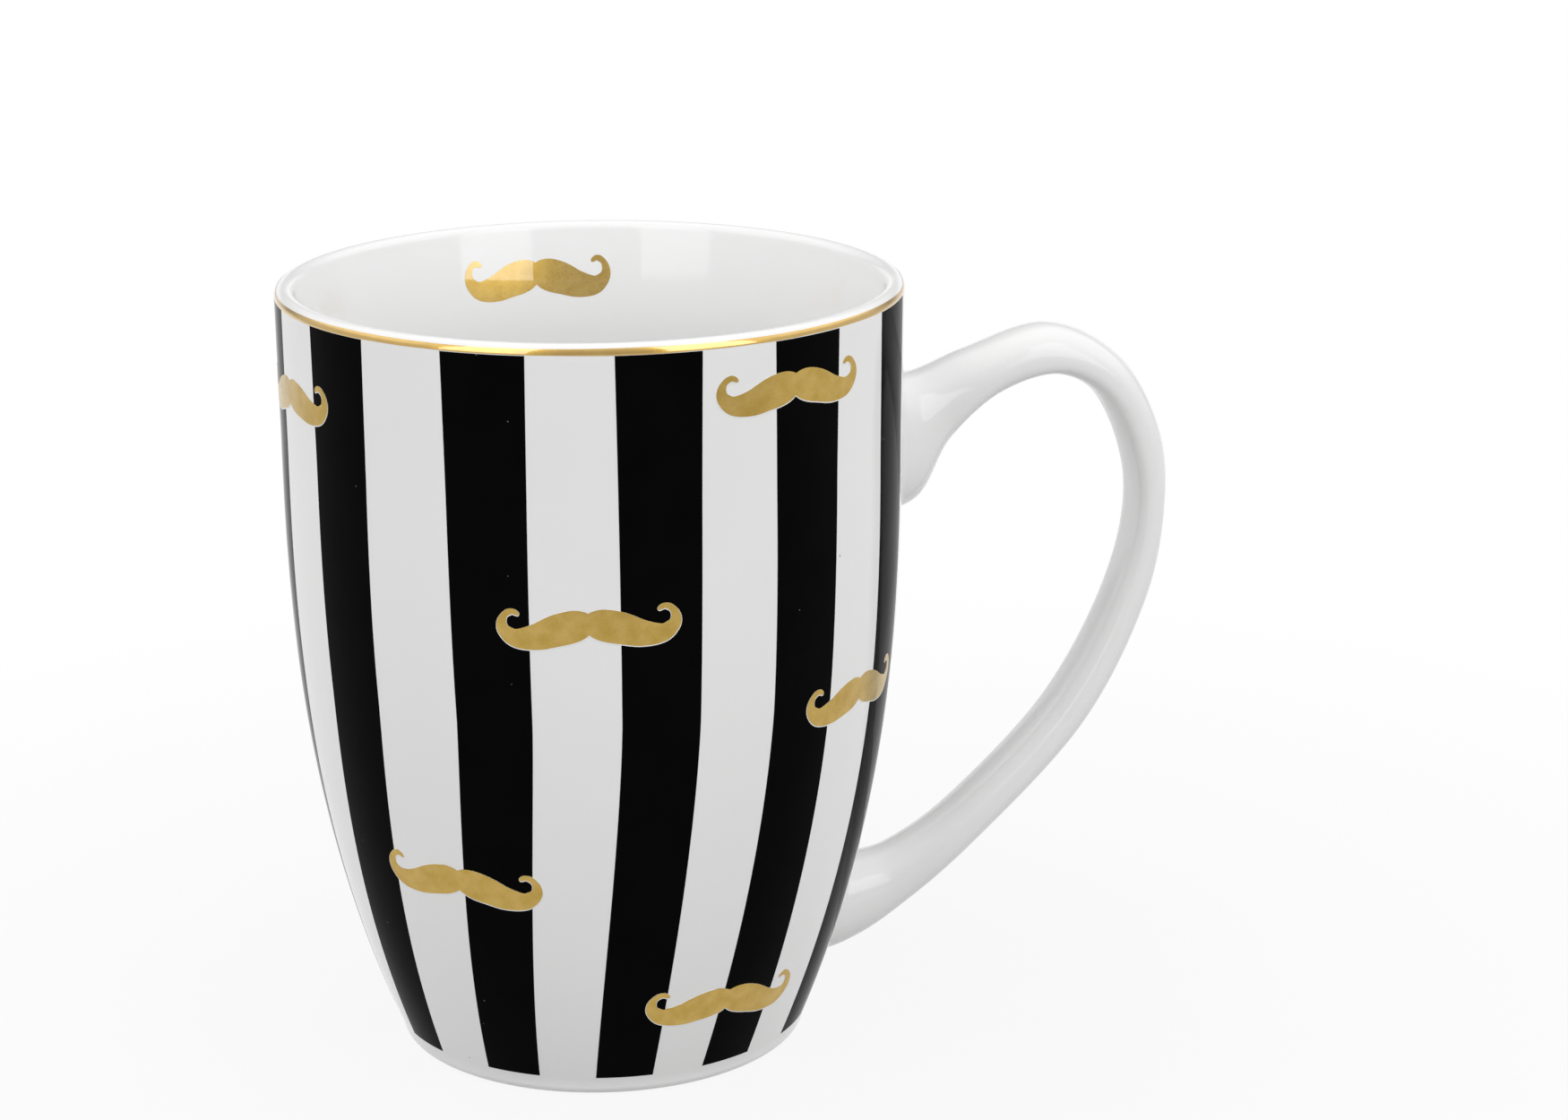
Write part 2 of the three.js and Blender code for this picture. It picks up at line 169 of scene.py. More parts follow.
def node_group(name, inputs, outputs):
    tree = bpy.data.node_groups.new(name, "ShaderNodeTree")
    for socket, kind in inputs.items():
        tree.interface.new_socket(socket, in_out="INPUT", socket_type=kind)
    for socket, kind in outputs.items():
        tree.interface.new_socket(socket, in_out="OUTPUT", socket_type=kind)
    return tree, tree.nodes.new("NodeGroupInput"), tree.nodes.new("NodeGroupOutput")


def glaze_flow():
    """The slow ripple and fine orange peel of a fired glaze."""
    inputs = {"Ripple": "NodeSocketFloat", "Smoothest": "NodeSocketFloat", "Roughest": "NodeSocketFloat"}
    outputs = {"Roughness": "NodeSocketFloat", "Normal": "NodeSocketVector"}
    tree, given, result = node_group("glaze_flow", inputs, outputs)
    place = add_node(tree, "ShaderNodeTexCoord")
    slow = add_node(tree, "ShaderNodeTexNoise", {"Scale": 55, "Detail": 1.0})
    peel = add_node(tree, "ShaderNodeTexNoise", {"Scale": 420, "Detail": 1.0})
    both = add_node(tree, "ShaderNodeMath", {1: 0.12}, operation="MULTIPLY_ADD")
    bump = add_node(tree, "ShaderNodeBump", {"Distance": 0.0006})
    patch = add_node(tree, "ShaderNodeTexNoise", {"Scale": 90, "Detail": 3.0})
    spread = add_node(tree, "ShaderNodeMapRange", {"From Min": 0.3, "From Max": 0.7})
    link = tree.links.new
    for texture in (slow, peel, patch):
        link(place.outputs["Object"], texture.inputs["Vector"])
    link(peel.outputs["Fac"], both.inputs[0])
    link(slow.outputs["Fac"], both.inputs[2])
    link(both.outputs[0], bump.inputs["Height"])
    link(given.outputs["Ripple"], bump.inputs["Strength"])
    link(patch.outputs["Fac"], spread.inputs["Value"])
    link(given.outputs["Smoothest"], spread.inputs["To Min"])
    link(given.outputs["Roughest"], spread.inputs["To Max"])
    link(spread.outputs["Result"], result.inputs["Roughness"])
    link(bump.outputs["Normal"], result.inputs["Normal"])
    return tree


def kiln_specks():
    """Rare pinholes and grains that a firing leaves in a glaze."""
    inputs = {"Density": "NodeSocketFloat", "Size": "NodeSocketFloat", "Share": "NodeSocketFloat"}
    tree, given, result = node_group("kiln_specks", inputs, {"Mask": "NodeSocketFloat"})
    place = add_node(tree, "ShaderNodeTexCoord")
    cells = add_node(tree, "ShaderNodeTexVoronoi")
    near = add_node(tree, "ShaderNodeMath", operation="LESS_THAN")
    pick = add_node(tree, "ShaderNodeSeparateColor")
    rare = add_node(tree, "ShaderNodeMath", operation="LESS_THAN")
    kept = add_node(tree, "ShaderNodeMath", operation="MULTIPLY")
    link = tree.links.new
    link(place.outputs["Object"], cells.inputs["Vector"])
    link(given.outputs["Density"], cells.inputs["Scale"])
    link(cells.outputs["Distance"], near.inputs[0])
    link(given.outputs["Size"], near.inputs[1])
    link(cells.outputs["Color"], pick.inputs["Color"])
    link(pick.outputs["Red"], rare.inputs[0])
    link(given.outputs["Share"], rare.inputs[1])
    link(near.outputs[0], kept.inputs[0])
    link(rare.outputs[0], kept.inputs[1])
    link(kept.outputs[0], result.inputs["Mask"])
    return tree


glaze_flow_group = glaze_flow()
kiln_specks_group = kiln_specks()


def new_finish(name):
    finish = bpy.data.materials.new(name)
    finish.use_nodes = True
    return finish, finish.node_tree, finish.node_tree.nodes["Principled BSDF"]


def placed_group(tree, group, values):
    return add_node(tree, "ShaderNodeGroup", values, node_tree=group)


def mix_colour(tree, factor, first, second):
    """Mixes two colours, each a plain one or the output of another node."""
    mix = add_node(tree, "ShaderNodeMix", data_type="RGBA")
    tree.links.new(factor, mix.inputs["Factor"])
    for socket, colour in (("A", first), ("B", second)):
        if isinstance(colour, tuple):
            mix.inputs[socket].default_value = (*colour, 1)
        else:
            tree.links.new(colour, mix.inputs[socket])
    return mix.outputs["Result"]


def make_white_glaze():
    """Milky and a little clouded, with rare pinholes, and bare clay on the foot ring."""
    finish, tree, shader = new_finish("white_glaze")
    flow = placed_group(tree, glaze_flow_group, {"Ripple": 0.22, "Smoothest": 0.05, "Roughest": 0.10})
    specks = placed_group(tree, kiln_specks_group, {"Density": 160, "Size": 0.028, "Share": 0.35})
    place = add_node(tree, "ShaderNodeTexCoord")
    cloud = add_node(tree, "ShaderNodeTexNoise", {"Scale": 30, "Detail": 3.0})
    parts = add_node(tree, "ShaderNodeSeparateXYZ")
    wander = add_node(tree, "ShaderNodeTexNoise", {"Scale": 260, "Detail": 2.0})
    wobble = add_node(tree, "ShaderNodeMath", {1: GLAZE_LINE_WANDER}, operation="MULTIPLY_ADD")
    bare = add_node(tree, "ShaderNodeMapRange", {"From Min": GLAZE_LINE_HIGH, "From Max": GLAZE_LINE_LOW})
    dry = add_node(tree, "ShaderNodeMix", {"B": BARE_ROUGHNESS}, data_type="FLOAT")
    link = tree.links.new
    for node in (cloud, wander, parts):
        link(place.outputs["Object"], node.inputs["Vector"])
    link(wander.outputs["Fac"], wobble.inputs[0])
    link(parts.outputs["Z"], wobble.inputs[2])
    link(wobble.outputs[0], bare.inputs["Value"])
    milk = mix_colour(tree, cloud.outputs["Fac"], GLAZE_WHITE, GLAZE_MILK)
    speckled = mix_colour(tree, specks.outputs["Mask"], milk, PINHOLE_BROWN)
    colour = mix_colour(tree, bare.outputs["Result"], speckled, BARE_CLAY)
    link(bare.outputs["Result"], dry.inputs["Factor"])
    link(flow.outputs["Roughness"], dry.inputs["A"])
    link(colour, shader.inputs["Base Color"])
    link(dry.outputs["Result"], shader.inputs["Roughness"])
    link(flow.outputs["Normal"], shader.inputs["Normal"])
    return finish


white_glaze = make_white_glaze()

body_mesh = bmesh.new()
turned(body_mesh, body_section(), sides=288)
body = into_scene("cast_body", body_mesh, white_glaze)
stands_for(body, "mug_body")

# Cast handle
# An ear of porcelain, cast by itself and fettled smooth. It swells where it meets the
# cup, and each edge below is a share of the reach from the wall and of the way up.
HANDLE_REACH = 45.4
HANDLE_FOOT = 15.7
HANDLE_RISE = 79.5
HANDLE_WIDTH = 12.4
HANDLE_SQUARENESS = 2.4
UPPER_SWELL = 6
UPPER_SWELL_END = 0.17
LOWER_SWELL = 4
LOWER_SWELL_START = 0.8
OUTER_EDGE = [
    (-0.06, 1.16), (0.062, 1.125), (0.27, 1.167), (0.571, 1.212), (0.821, 1.142), (0.969, 0.998), (1, 0.84),
    (0.935, 0.625), (0.704, 0.364), (0.28, 0.114), (-0.012, -0.02), (-0.194, -0.075), (-0.352, -0.095),
]
INNER_EDGE = [
    (-0.07, 0.84), (0.081, 0.875), (0.183, 0.983), (0.353, 1.074), (0.572, 1.113), (0.768, 1.046),
    (0.88, 0.861), (0.816, 0.654), (0.595, 0.416), (0.258, 0.217), (0.023, 0.127), (-0.13, 0.104),
    (-0.286, 0.102),
]


def smooth_path(points, share):
    """A point on the Catmull-Rom curve through a list of points."""
    spans = len(points) - 1
    first = min(int(share * spans), spans - 1)
    t = share * spans - first
    p1, p2 = Vector(points[first]), Vector(points[first + 1])
    p0 = Vector(points[first - 1]) if first else 2 * p1 - p2
    p3 = Vector(points[first + 2]) if first + 2 <= spans else 2 * p2 - p1
    bend = (2 * p0 - 5 * p1 + 4 * p2 - p3) * t * t + (3 * p1 - p0 - 3 * p2 + p3) * t ** 3
    return (2 * p1 + (p2 - p0) * t + bend) / 2


def smooth_step(value, first, last):
    t = min(max((value - first) / (last - first), 0), 1)
    return t * t * (3 - 2 * t)


def bulge(value):
    """Rounds a sine or cosine a little towards a square section."""
    return math.copysign(abs(value) ** (2 / HANDLE_SQUARENESS), value)


def handle_point(run, turn):
    """A point in millimetres on the handle's skin, from the cup's axis."""
    edges = []
    for edge in (OUTER_EDGE, INNER_EDGE):
        reach, rise = smooth_path(edge, run)
        edges.append(Vector((WALL_RADIUS + reach * HANDLE_REACH, 0, HANDLE_FOOT + rise * HANDLE_RISE)))
    middle = (edges[0] + edges[1]) / 2
    width = HANDLE_WIDTH + UPPER_SWELL * (1 - smooth_step(run, 0, UPPER_SWELL_END))
    width += LOWER_SWELL * smooth_step(run, LOWER_SWELL_START, 1)
    across = (edges[0] - middle) * bulge(math.cos(turn))
    return middle + across + Vector((0, width / 2 * bulge(math.sin(turn)), 0))


def from_axis(point):
    return Vector((cup_axis, 0, 0)) + point * MM


def handle_mesh(rows, sides):
    mesh = bmesh.new()
    turns = [2 * math.pi * j / sides for j in range(sides)]
    rings = []
    for run in between(0, 1, rows):
        rings.append([mesh.verts.new(from_axis(handle_point(run, turn))) for turn in turns])
    for lower, upper in zip(rings, rings[1:]):
        for j in range(sides):
            k = (j + 1) % sides
            mesh.faces.new((lower[j], lower[k], upper[k], upper[j]))
    mesh.faces.new(rings[0])
    mesh.faces.new(rings[-1])
    return mesh


handle = into_scene("cast_handle", handle_mesh(rows=220, sides=56), white_glaze)
stands_for(handle, "handle")

# Slip joints
# Liquid clay luted the handle to the cup. What squeezed out was wiped into a small hollow
# fillet round each end of the handle, and glazed over with the rest.
SLIP_FILLET = 1.3
SLIP_EDGE = 0.012
SLIP_ROOT = 0.5
HEIGHT_NUDGE = 0.01
TURN_NUDGE = 0.02
HALVINGS = 40
# Piece, CAD node, run of the handle inside the wall, run well clear of it
JOINTS = [
    ("upper_slip_fillet", "upper_slip_joint", 0.0, 0.2),
    ("lower_slip_fillet", "lower_slip_joint", 1.0, 0.7),
]


def wall_slope(height):
    rise = outside_radius(height + HEIGHT_NUDGE) - outside_radius(height - HEIGHT_NUDGE)
    return rise / (2 * HEIGHT_NUDGE)


def wall_normal(point):
    around = Vector((point.x, point.y, 0)).normalized()
    return Vector((around.x, around.y, -wall_slope(point.z))).normalized()


def gap_to_wall(point):
    return math.hypot(point.x, point.y) - outside_radius(point.z)


def run_where(test, low, high):
    """The run between two limits at which a test turns from false to true."""
    for _ in range(HALVINGS):
        middle = (low + high) / 2
        low, high = (low, middle) if test(middle) else (middle, high)
    return high


def slip_section(turn, sunk, clear):
    """The closed section of a fillet beside one line along the handle."""
    at_wall = run_where(lambda run: gap_to_wall(handle_point(run, turn)) > 0, sunk, clear)
    foot = handle_point(at_wall, turn)
    edge = run_where(lambda run: (handle_point(run, turn) - foot).length > SLIP_FILLET, at_wall, clear)
    start = handle_point(edge, turn)
    along = (start - foot).normalized()
    beside = (handle_point(edge, turn + TURN_NUDGE) - handle_point(edge, turn - TURN_NUDGE)).normalized()
    handle_out = along.cross(beside).normalized()
    centre = (start + handle_point(edge, turn + math.pi)) / 2
    if handle_out.dot(start - centre) < 0:
        handle_out = -handle_out
    wall_out = wall_normal(foot)
    away = (handle_out - wall_out * handle_out.dot(wall_out)).normalized()
    end = foot + away * SLIP_FILLET
    end -= wall_normal(end) * gap_to_wall(end)
    start = start + handle_out * SLIP_EDGE
    end = end + wall_normal(end) * SLIP_EDGE
    section = []
    for t in between(0, 1, steps=14):
        section.append((1 - t) ** 2 * start + 2 * t * (1 - t) * foot + t * t * end)
    section.append(end - wall_normal(end) * SLIP_ROOT)
    section.append(foot - wall_out * SLIP_ROOT - handle_out * SLIP_ROOT)
    section.append(start - handle_out * SLIP_ROOT)
    return [from_axis(point) for point in section]


def closed_hoop(mesh, sections):
    """Skins a row of closed sections that runs round to its start."""
    rings = [[mesh.verts.new(point) for point in section] for section in sections]
    for ring, following in zip(rings, rings[1:] + rings[:1]):
        for j in range(len(ring)):
            k = (j + 1) % len(ring)
            mesh.faces.new((ring[j], ring[k], following[k], following[j]))


for name, node, sunk, clear in JOINTS:
    slip_mesh = bmesh.new()
    slip_turns = between(0, 2 * math.pi, steps=112)[:-1]
    closed_hoop(slip_mesh, [slip_section(turn, sunk, clear) for turn in slip_turns])
    slip = into_scene(name, slip_mesh, white_glaze)
    stands_for(slip, node)

# Black stripes
# Printed transfers of black enamel, soaked off their paper, smoothed down the side and
# fired into the glaze. They lean a little where the sheet followed the narrowing foot.
STRIPE_TOP = 121.6
STRIPE_BOTTOM = 3.4
STRIPE_MIDDLES = [-29, -59.2, -88.6, -119] + [29 + 30 * i for i in range(7)]
STRIPE_ANGLE = 15.2
STRIPE_WAIST = 0.055
STRIPE_BACK = -0.05
STRIPE_FACE = 0.03
ROW_CROWDING = 1.2
LEAN_HEIGHT = 66
LEAN_ANGLE = -6.7
LEAN_POWER = 1.4
INK_BLACK = (0.0012, 0.0012, 0.0014)
INK_WORN = (0.0034, 0.0032, 0.003)
GRAIN_GREY = (0.16, 0.16, 0.17)
ENAMEL_IOR = 1.06


def make_black_enamel():
    """Deep and weak in gloss, a little clouded, with rare grey grains."""
    finish, tree, shader = new_finish("black_enamel")
    flow = placed_group(tree, glaze_flow_group, {"Ripple": 0.22, "Smoothest": 0.06, "Roughest": 0.13})
    specks = placed_group(tree, kiln_specks_group, {"Density": 300, "Size": 0.035, "Share": 0.3})
    place = add_node(tree, "ShaderNodeTexCoord")
    cloud = add_node(tree, "ShaderNodeTexNoise", {"Scale": 120, "Detail": 4.0})
    shader.inputs["IOR"].default_value = ENAMEL_IOR
    link = tree.links.new
    link(place.outputs["Object"], cloud.inputs["Vector"])
    ink = mix_colour(tree, cloud.outputs["Fac"], INK_BLACK, INK_WORN)
    link(mix_colour(tree, specks.outputs["Mask"], ink, GRAIN_GREY), shader.inputs["Base Color"])
    link(flow.outputs["Roughness"], shader.inputs["Roughness"])
    link(flow.outputs["Normal"], shader.inputs["Normal"])
    return finish


black_enamel = make_black_enamel()


def on_outside(degrees, height, lift):
    """A point that lies off the outside wall by a lift in millimetres, square to it."""
    slope = wall_slope(height)
    length = math.hypot(1, slope)
    radius = outside_radius(height) + lift / length
    return cup_point(radius, math.radians(degrees), height - lift * slope / length)


def film(mesh, place, rows, columns, back, face, finish=0):
    """A thin closed sheet over rows and columns of places, from one lift to another."""
    ups = between(0, 1, rows)
    acrosses = between(0, 1, columns)
    faces = [[mesh.verts.new(place(up, across, face)) for across in acrosses] for up in ups]
    backs = [[mesh.verts.new(place(up, across, back)) for across in acrosses] for up in ups]
    made = []
    for i in range(rows):
        for j in range(columns):
            for sheet in (faces, backs):
                corners = (sheet[i][j], sheet[i][j + 1], sheet[i + 1][j + 1], sheet[i + 1][j])
                made.append(mesh.faces.new(corners))
    border = [(0, j) for j in range(columns)] + [(i, columns) for i in range(rows)]
    border += [(rows, j) for j in range(columns, 0, -1)] + [(i, 0) for i in range(rows, 0, -1)]
    for (i, j), (k, m) in zip(border, border[1:] + border[:1]):
        made.append(mesh.faces.new((faces[i][j], faces[k][m], backs[k][m], backs[i][j])))
    for quad in made:
        quad.material_index = finish


def stripe_place(middle):
    """Places over a stripe, by the share of the way up and across it."""
    def place(up, across, lift):
        share = up ** ROW_CROWDING
        height = STRIPE_BOTTOM + (STRIPE_TOP - STRIPE_BOTTOM) * share
        lean = LEAN_ANGLE * max(0, 1 - height / LEAN_HEIGHT) ** LEAN_POWER
        wide = STRIPE_ANGLE * (1 - STRIPE_WAIST * (1 - (2 * share - 1) ** 2))
        return on_outside(middle + lean + (across - 0.5) * wide, height, lift)

    return place


for count, middle in enumerate(STRIPE_MIDDLES, 1):
    stripe_mesh = bmesh.new()
    film(stripe_mesh, stripe_place(middle), rows=72, columns=14, back=STRIPE_BACK, face=STRIPE_FACE)
    stripe = into_scene(f"stripe_print_{count:02d}", stripe_mesh, black_enamel)
    stands_for(stripe, f"black_stripe_{count:02d}")

# Gold moustaches
# Transfers of fired gold with a satin, faintly clouded face. The black is left open under
# each one, and a hair of white shows where the two prints don't quite meet.
HALF_SPAN = 13.8
FULLNESS = 0.218
LOBE_FULLNESS_POWER = 1.5
LOBE_TAPER_POWER = 1.15
CURL_DEPTH = 0.16
CURL_THINNING = 0.5
CURL_THINS_FROM = 0.9
TIP_ROUND = 0.035
TIP_LEAST = 0.01
NOTCH_DEPTH = 0.45
NOTCH_WIDTH = 0.11
HALF_SPINE = [
    (0, 0), (0.3, -0.05), (0.56, -0.13), (0.78, -0.145), (0.905, -0.065),
    (0.9315, 0.03), (0.89, 0.118), (0.81, 0.1525), (0.735, 0.115),
]
SPINE = [(-x, y) for x, y in HALF_SPINE[:0:-1]] + HALF_SPINE
# Degrees from the handle, share of the way up the stripes, degrees of tilt
MOUSTACHES = [
    (-41.9, 0.508, -1.5), (-62.5, 0.942, -1), (-69.7, 0.106, -4),
    (-101.4, 0.662, 1.6), (-129.6, 0.297, -1.2), (-169.7, 0.899, 3),
    (150, 0.6, 1), (143, 0.16, -2), (112, 0.83, 1), (100, 0.37, -1), (60, 0.66, 2), (52, 0.22, 0),
]
MOUSTACHE_ROWS = 128
MOUSTACHE_COLUMNS = 8
REVEAL = 0.08
REVEAL_BACK = -0.02
REVEAL_FACE = 0.05
MOUSTACHE_BACK = 0.0
MOUSTACHE_FACE = 0.07
SATIN_DEEP = (0.45, 0.30, 0.068)
SATIN_PALE = (0.54, 0.37, 0.112)


def fired_gold():
    """Clouds, brush grain and uneven burnish of fired gold."""
    inputs = {
        "Deep": "NodeSocketColor", "Pale": "NodeSocketColor",
        "Smoothest": "NodeSocketFloat", "Roughest": "NodeSocketFloat", "Grain": "NodeSocketFloat",
    }
    outputs = {"Color": "NodeSocketColor", "Roughness": "NodeSocketFloat", "Normal": "NodeSocketVector"}
    tree, given, result = node_group("fired_gold", inputs, outputs)
    place = add_node(tree, "ShaderNodeTexCoord")
    cloud = add_node(tree, "ShaderNodeTexNoise", {"Scale": 420, "Detail": 3.0})
    grain = add_node(tree, "ShaderNodeTexNoise", {"Scale": 2600, "Detail": 2.0})
    stretch = add_node(tree, "ShaderNodeMapRange", {"From Min": 0.32, "From Max": 0.68})
    spread = add_node(tree, "ShaderNodeMapRange", {"From Min": 0.3, "From Max": 0.7})
    bump = add_node(tree, "ShaderNodeBump", {"Distance": 0.00005})
    link = tree.links.new
    for texture in (cloud, grain):
        link(place.outputs["Object"], texture.inputs["Vector"])
    link(cloud.outputs["Fac"], stretch.inputs["Value"])
    tone = mix_colour(tree, stretch.outputs["Result"], given.outputs["Deep"], given.outputs["Pale"])
    link(grain.outputs["Fac"], spread.inputs["Value"])
    link(given.outputs["Smoothest"], spread.inputs["To Min"])
    link(given.outputs["Roughest"], spread.inputs["To Max"])
    link(grain.outputs["Fac"], bump.inputs["Height"])
    link(given.outputs["Grain"], bump.inputs["Strength"])
    link(tone, result.inputs["Color"])
    link(spread.outputs["Result"], result.inputs["Roughness"])
    link(bump.outputs["Normal"], result.inputs["Normal"])
    return tree


fired_gold_group = fired_gold()


def make_gold(name, deep, pale, smoothest, roughest, grain):
    finish, tree, shader = new_finish(name)
    values = {
        "Deep": (*deep, 1), "Pale": (*pale, 1),
        "Smoothest": smoothest, "Roughest": roughest, "Grain": grain,
    }
    gold = placed_group(tree, fired_gold_group, values)
    shader.inputs["Metallic"].default_value = 1
    link = tree.links.new
    link(gold.outputs["Color"], shader.inputs["Base Color"])
    link(gold.outputs["Roughness"], shader.inputs["Roughness"])
    link(gold.outputs["Normal"], shader.inputs["Normal"])
    return finish, shader


satin_gold, _ = make_gold("satin_gold", SATIN_DEEP, SATIN_PALE, smoothest=0.16, roughest=0.28, grain=0.25)

spine_points = [smooth_path(SPINE, share) for share in between(0, 1, steps=600)]
spine_lengths = [0]
for here, there in zip(spine_points, spine_points[1:]):
    spine_lengths.append(spine_lengths[-1] + (there - here).length)


def spine_at(share):
    """Place and direction on the spine, by the share of its length."""
    wanted = share * spine_lengths[-1]
    i = next(k for k in range(1, len(spine_lengths)) if spine_lengths[k] >= wanted - 1e-9)
    step = spine_points[i] - spine_points[i - 1]
    part = (wanted - spine_lengths[i - 1]) / (spine_lengths[i] - spine_lengths[i - 1])
    return spine_points[i - 1] + step * part, step.normalized()


def half_depth(run):
    """Half the depth of the moustache, from its notched middle at 0 to a round tip at 1."""
    curl = CURL_DEPTH - CURL_THINNING * max(run - CURL_THINS_FROM, 0)
    taper = max((1 - min(run, 1) ** LOBE_FULLNESS_POWER) ** LOBE_TAPER_POWER, curl)
    into_tip = max(run - (1 - TIP_ROUND), 0) / TIP_ROUND
    tip = math.sqrt(max(1 - into_tip ** 2, TIP_LEAST))
    return FULLNESS * taper * tip * (1 - NOTCH_DEPTH * math.exp(-run / NOTCH_WIDTH))


def moustache_place(degrees, height, tilt, wall, radius, half=HALF_SPAN, stretch=1, margin=0, drop=0):
    """Places over a moustache on a wall, grown by a margin all round and let down by a drop."""
    lean = math.radians(tilt)

    def place(along, across, lift):
        share = (1 - math.cos(math.pi * along)) / 2
        spine, heading = spine_at(share)
        offset = (1 - 2 * across) * (half_depth(abs(2 * share - 1)) + margin / half)
        x = (spine.x - heading.y * offset) * half
        y = (spine.y + heading.x * offset) * half * stretch - drop
        x, y = x * math.cos(lean) - y * math.sin(lean), x * math.sin(lean) + y * math.cos(lean)
        return wall(degrees + math.degrees(x / radius), height + y, lift)

    return place


def moustache_film(mesh, place, back, face, finish=0):
    film(mesh, place, MOUSTACHE_ROWS, MOUSTACHE_COLUMNS, back, face, finish)


for count, (degrees, share, tilt) in enumerate(MOUSTACHES, 1):
    height = STRIPE_BOTTOM + (STRIPE_TOP - STRIPE_BOTTOM) * share
    where = (degrees, height, tilt, on_outside, outside_radius(height))
    moustache_mesh = bmesh.new()
    white_edge = moustache_place(*where, margin=REVEAL, drop=REVEAL)
    moustache_film(moustache_mesh, white_edge, REVEAL_BACK, REVEAL_FACE, finish=1)
    moustache_film(moustache_mesh, moustache_place(*where), MOUSTACHE_BACK, MOUSTACHE_FACE)
    moustache = into_scene(f"moustache_print_{count:02d}", moustache_mesh, satin_gold, white_glaze)
    stands_for(moustache, f"gold_moustache_{count:02d}")

# Moustache inside the cup
# One more gold transfer, just under the lip on the far wall, where it shows over the rim.
# Its gold is laid so thin on the glaze that the gloss of the glaze shows with it.
INSIDE_ANGLE = 91.8
INSIDE_HEIGHT = 115
INSIDE_RADIUS = 44.3
INSIDE_HALF_SPAN = 12.6
INSIDE_STRETCH = 1.2
INSIDE_BACK = -0.02
INSIDE_FACE = 0.04
BRIGHT_DEEP = (0.57, 0.345, 0.03)
BRIGHT_PALE = (0.66, 0.43, 0.07)


def on_inside(degrees, height, lift):
    return cup_point(inside_radius(height) - lift, math.radians(degrees), height)


bright_gold, bright_gloss = make_gold(
    "bright_gold", BRIGHT_DEEP, BRIGHT_PALE, smoothest=0.26, roughest=0.34, grain=0.05)
bright_gloss.inputs["Coat Weight"].default_value = 1
bright_gloss.inputs["Coat IOR"].default_value = 2.0

inside_place = moustache_place(
    INSIDE_ANGLE, INSIDE_HEIGHT, 0, on_inside, INSIDE_RADIUS, INSIDE_HALF_SPAN, INSIDE_STRETCH)
inside_mesh = bmesh.new()
moustache_film(inside_mesh, inside_place, INSIDE_BACK, INSIDE_FACE)
inside_moustache = into_scene("inside_moustache_print", inside_mesh, bright_gold)
stands_for(inside_moustache, "inside_moustache")

# Gold line
# Banded on with a brush while the mug turned on a wheel, so its edges wander by a hair.
# It lies on the outer round of the lip, as thin and glossy as the moustache inside.
LINE_TOP = 0.65
LINE_TOP_WANDER = 0.03
LINE_FOOT_WANDER = 0.04
# Share of the wander, waves round the lip, and where they start
LINE_FOOT_WAVES = [(0.5, 5, 0), (0.3, 13, 1), (0.2, 31, 2)]
LINE_TOP_WAVES = [(1, 7, 0.5)]
LINE_FACE = 0.035
LINE_ROOT = 0.05
LINE_DEEP = (0.62, 0.35, 0.005)
LINE_PALE = (0.68, 0.41, 0.02)

line_gold, line_gloss = make_gold(
    "line_gold", LINE_DEEP, LINE_PALE, smoothest=0.18, roughest=0.26, grain=0.05)
line_gloss.inputs["Coat Weight"].default_value = 1
line_gloss.inputs["Coat IOR"].default_value = 2.4


def waver(waves, angle):
    return sum(share * math.sin(count * angle + start) for share, count, start in waves)


def gold_line_section(angle):
    """The closed section of the line, between two angles up the round of the lip."""
    low = LINE_FOOT_WANDER * waver(LINE_FOOT_WAVES, angle)
    high = LINE_TOP + LINE_TOP_WANDER * waver(LINE_TOP_WAVES, angle)
    rim = outside_radius(LIP_CENTRE) - LIP_ROUND
    outline = arc(rim, LIP_CENTRE, LIP_ROUND + LINE_FACE, low, high, steps=8)
    outline += arc(rim, LIP_CENTRE, LIP_ROUND - LINE_ROOT, high, low, steps=3)
    return [cup_point(radius, angle, height) for radius, height in outline]


line_mesh = bmesh.new()
line_angles = between(0, 2 * math.pi, steps=288)[:-1]
closed_hoop(line_mesh, [gold_line_section(angle) for angle in line_angles])
gold_line = into_scene("gold_line", line_mesh, line_gold)
stands_for(gold_line, "gold_rim_line")

# Camera
# Stands a little over half a metre from the mug and looks down on it by 16 degrees, with
# the handle to the right and turned slightly away.
CAMERA_PLACE = (cup_axis - 0.09498, -0.53867, 0.2349)
CAMERA_DIP = 16.087
CAMERA_HEADING = -13.13
CAMERA_ROLL = -0.181

camera_data = bpy.data.cameras.new("camera")
camera_data.sensor_width = 36
camera_data.lens = 82.29
camera_data.clip_start = 0.01
camera = bpy.data.objects.new("camera", camera_data)
camera.location = CAMERA_PLACE
aim = Euler((math.radians(90 - CAMERA_DIP), 0, math.radians(CAMERA_HEADING))).to_matrix()
camera.rotation_euler = (aim @ Matrix.Rotation(math.radians(CAMERA_ROLL), 3, "Z")).to_euler()
bpy.context.scene.collection.objects.link(camera)
bpy.context.scene.camera = camera

# Table
# A pale studio table that ends 30 cm in front of the origin. It is shown nearly as white as
# the background, so only a soft shadow is left round the foot, which fades further out.
TABLE_GREY = (0.46, 0.46, 0.46, 1)
TABLE_SIDE = 0.8
TABLE_FRONT = -0.3
TABLE_BACK = 1.6
TABLE_TOP = -0.00005
SHADOW_FADE = {"From Min": 0.05, "From Max": 0.25, "To Min": 0.9}


